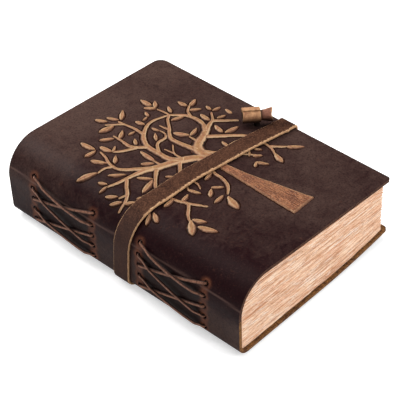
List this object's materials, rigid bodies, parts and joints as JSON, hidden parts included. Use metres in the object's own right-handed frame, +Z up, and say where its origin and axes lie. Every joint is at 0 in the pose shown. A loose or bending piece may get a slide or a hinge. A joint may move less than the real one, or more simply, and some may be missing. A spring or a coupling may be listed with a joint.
{
  "type": "leather journal",
  "caption": "Thick leather-bound journal with an embossed leafy tree, laced spine, torn-edge pages, a strap round the covers and a rolled leather toggle.",
  "frame": {"origin": "bottom centre of the whole object: centre of its box in X and Y, on the surface it lies on", "axes": "+Z up through the closed book, +X from the spine to the fore edge, +Y from tail to head"},
  "size_m": [0.1312, 0.178, 0.0573],
  "materials": {
    "cover_leather": "waxed, semi-matt",
    "strap_leather": "matt, raw tan edges",
    "thong_leather": "matt",
    "toggle_leather": "matt",
    "pages": "rough handmade paper, torn edges"
  },
  "bodies": {
    "book": {"spine": "cover_leather", "text_block": "pages", "lace_tail": "thong_leather", "lace_head": "thong_leather", "strap_spine": "strap_leather"},
    "front_cover": {"front_cover": "cover_leather", "strap_front": "strap_leather", "toggle_stem": "thong_leather"},
    "back_cover": {"back_cover": "cover_leather", "strap_back": "strap_leather"},
    "toggle": {"toggle": "toggle_leather"}
  },
  "joints": [
    {"name": "front_cover_fold", "type": "hinge", "parent": "book", "child": "front_cover", "pos_m": [-0.06051, 0, 0.04272], "axis": [0, -1, 0], "range_deg": [0, 180]},
    {"name": "back_cover_fold", "type": "hinge", "parent": "book", "child": "back_cover", "pos_m": [-0.06252, 0, 0.00228], "axis": [0, 1, 0], "range_deg": [0, 180]},
    {"name": "toggle_turn", "type": "hinge", "parent": "front_cover", "child": "toggle", "pos_m": [0.05072, -0.00163, 0.04512], "axis": [0.0528, 0, 0.9986], "range_deg": [-90, 35]}
  ]
}
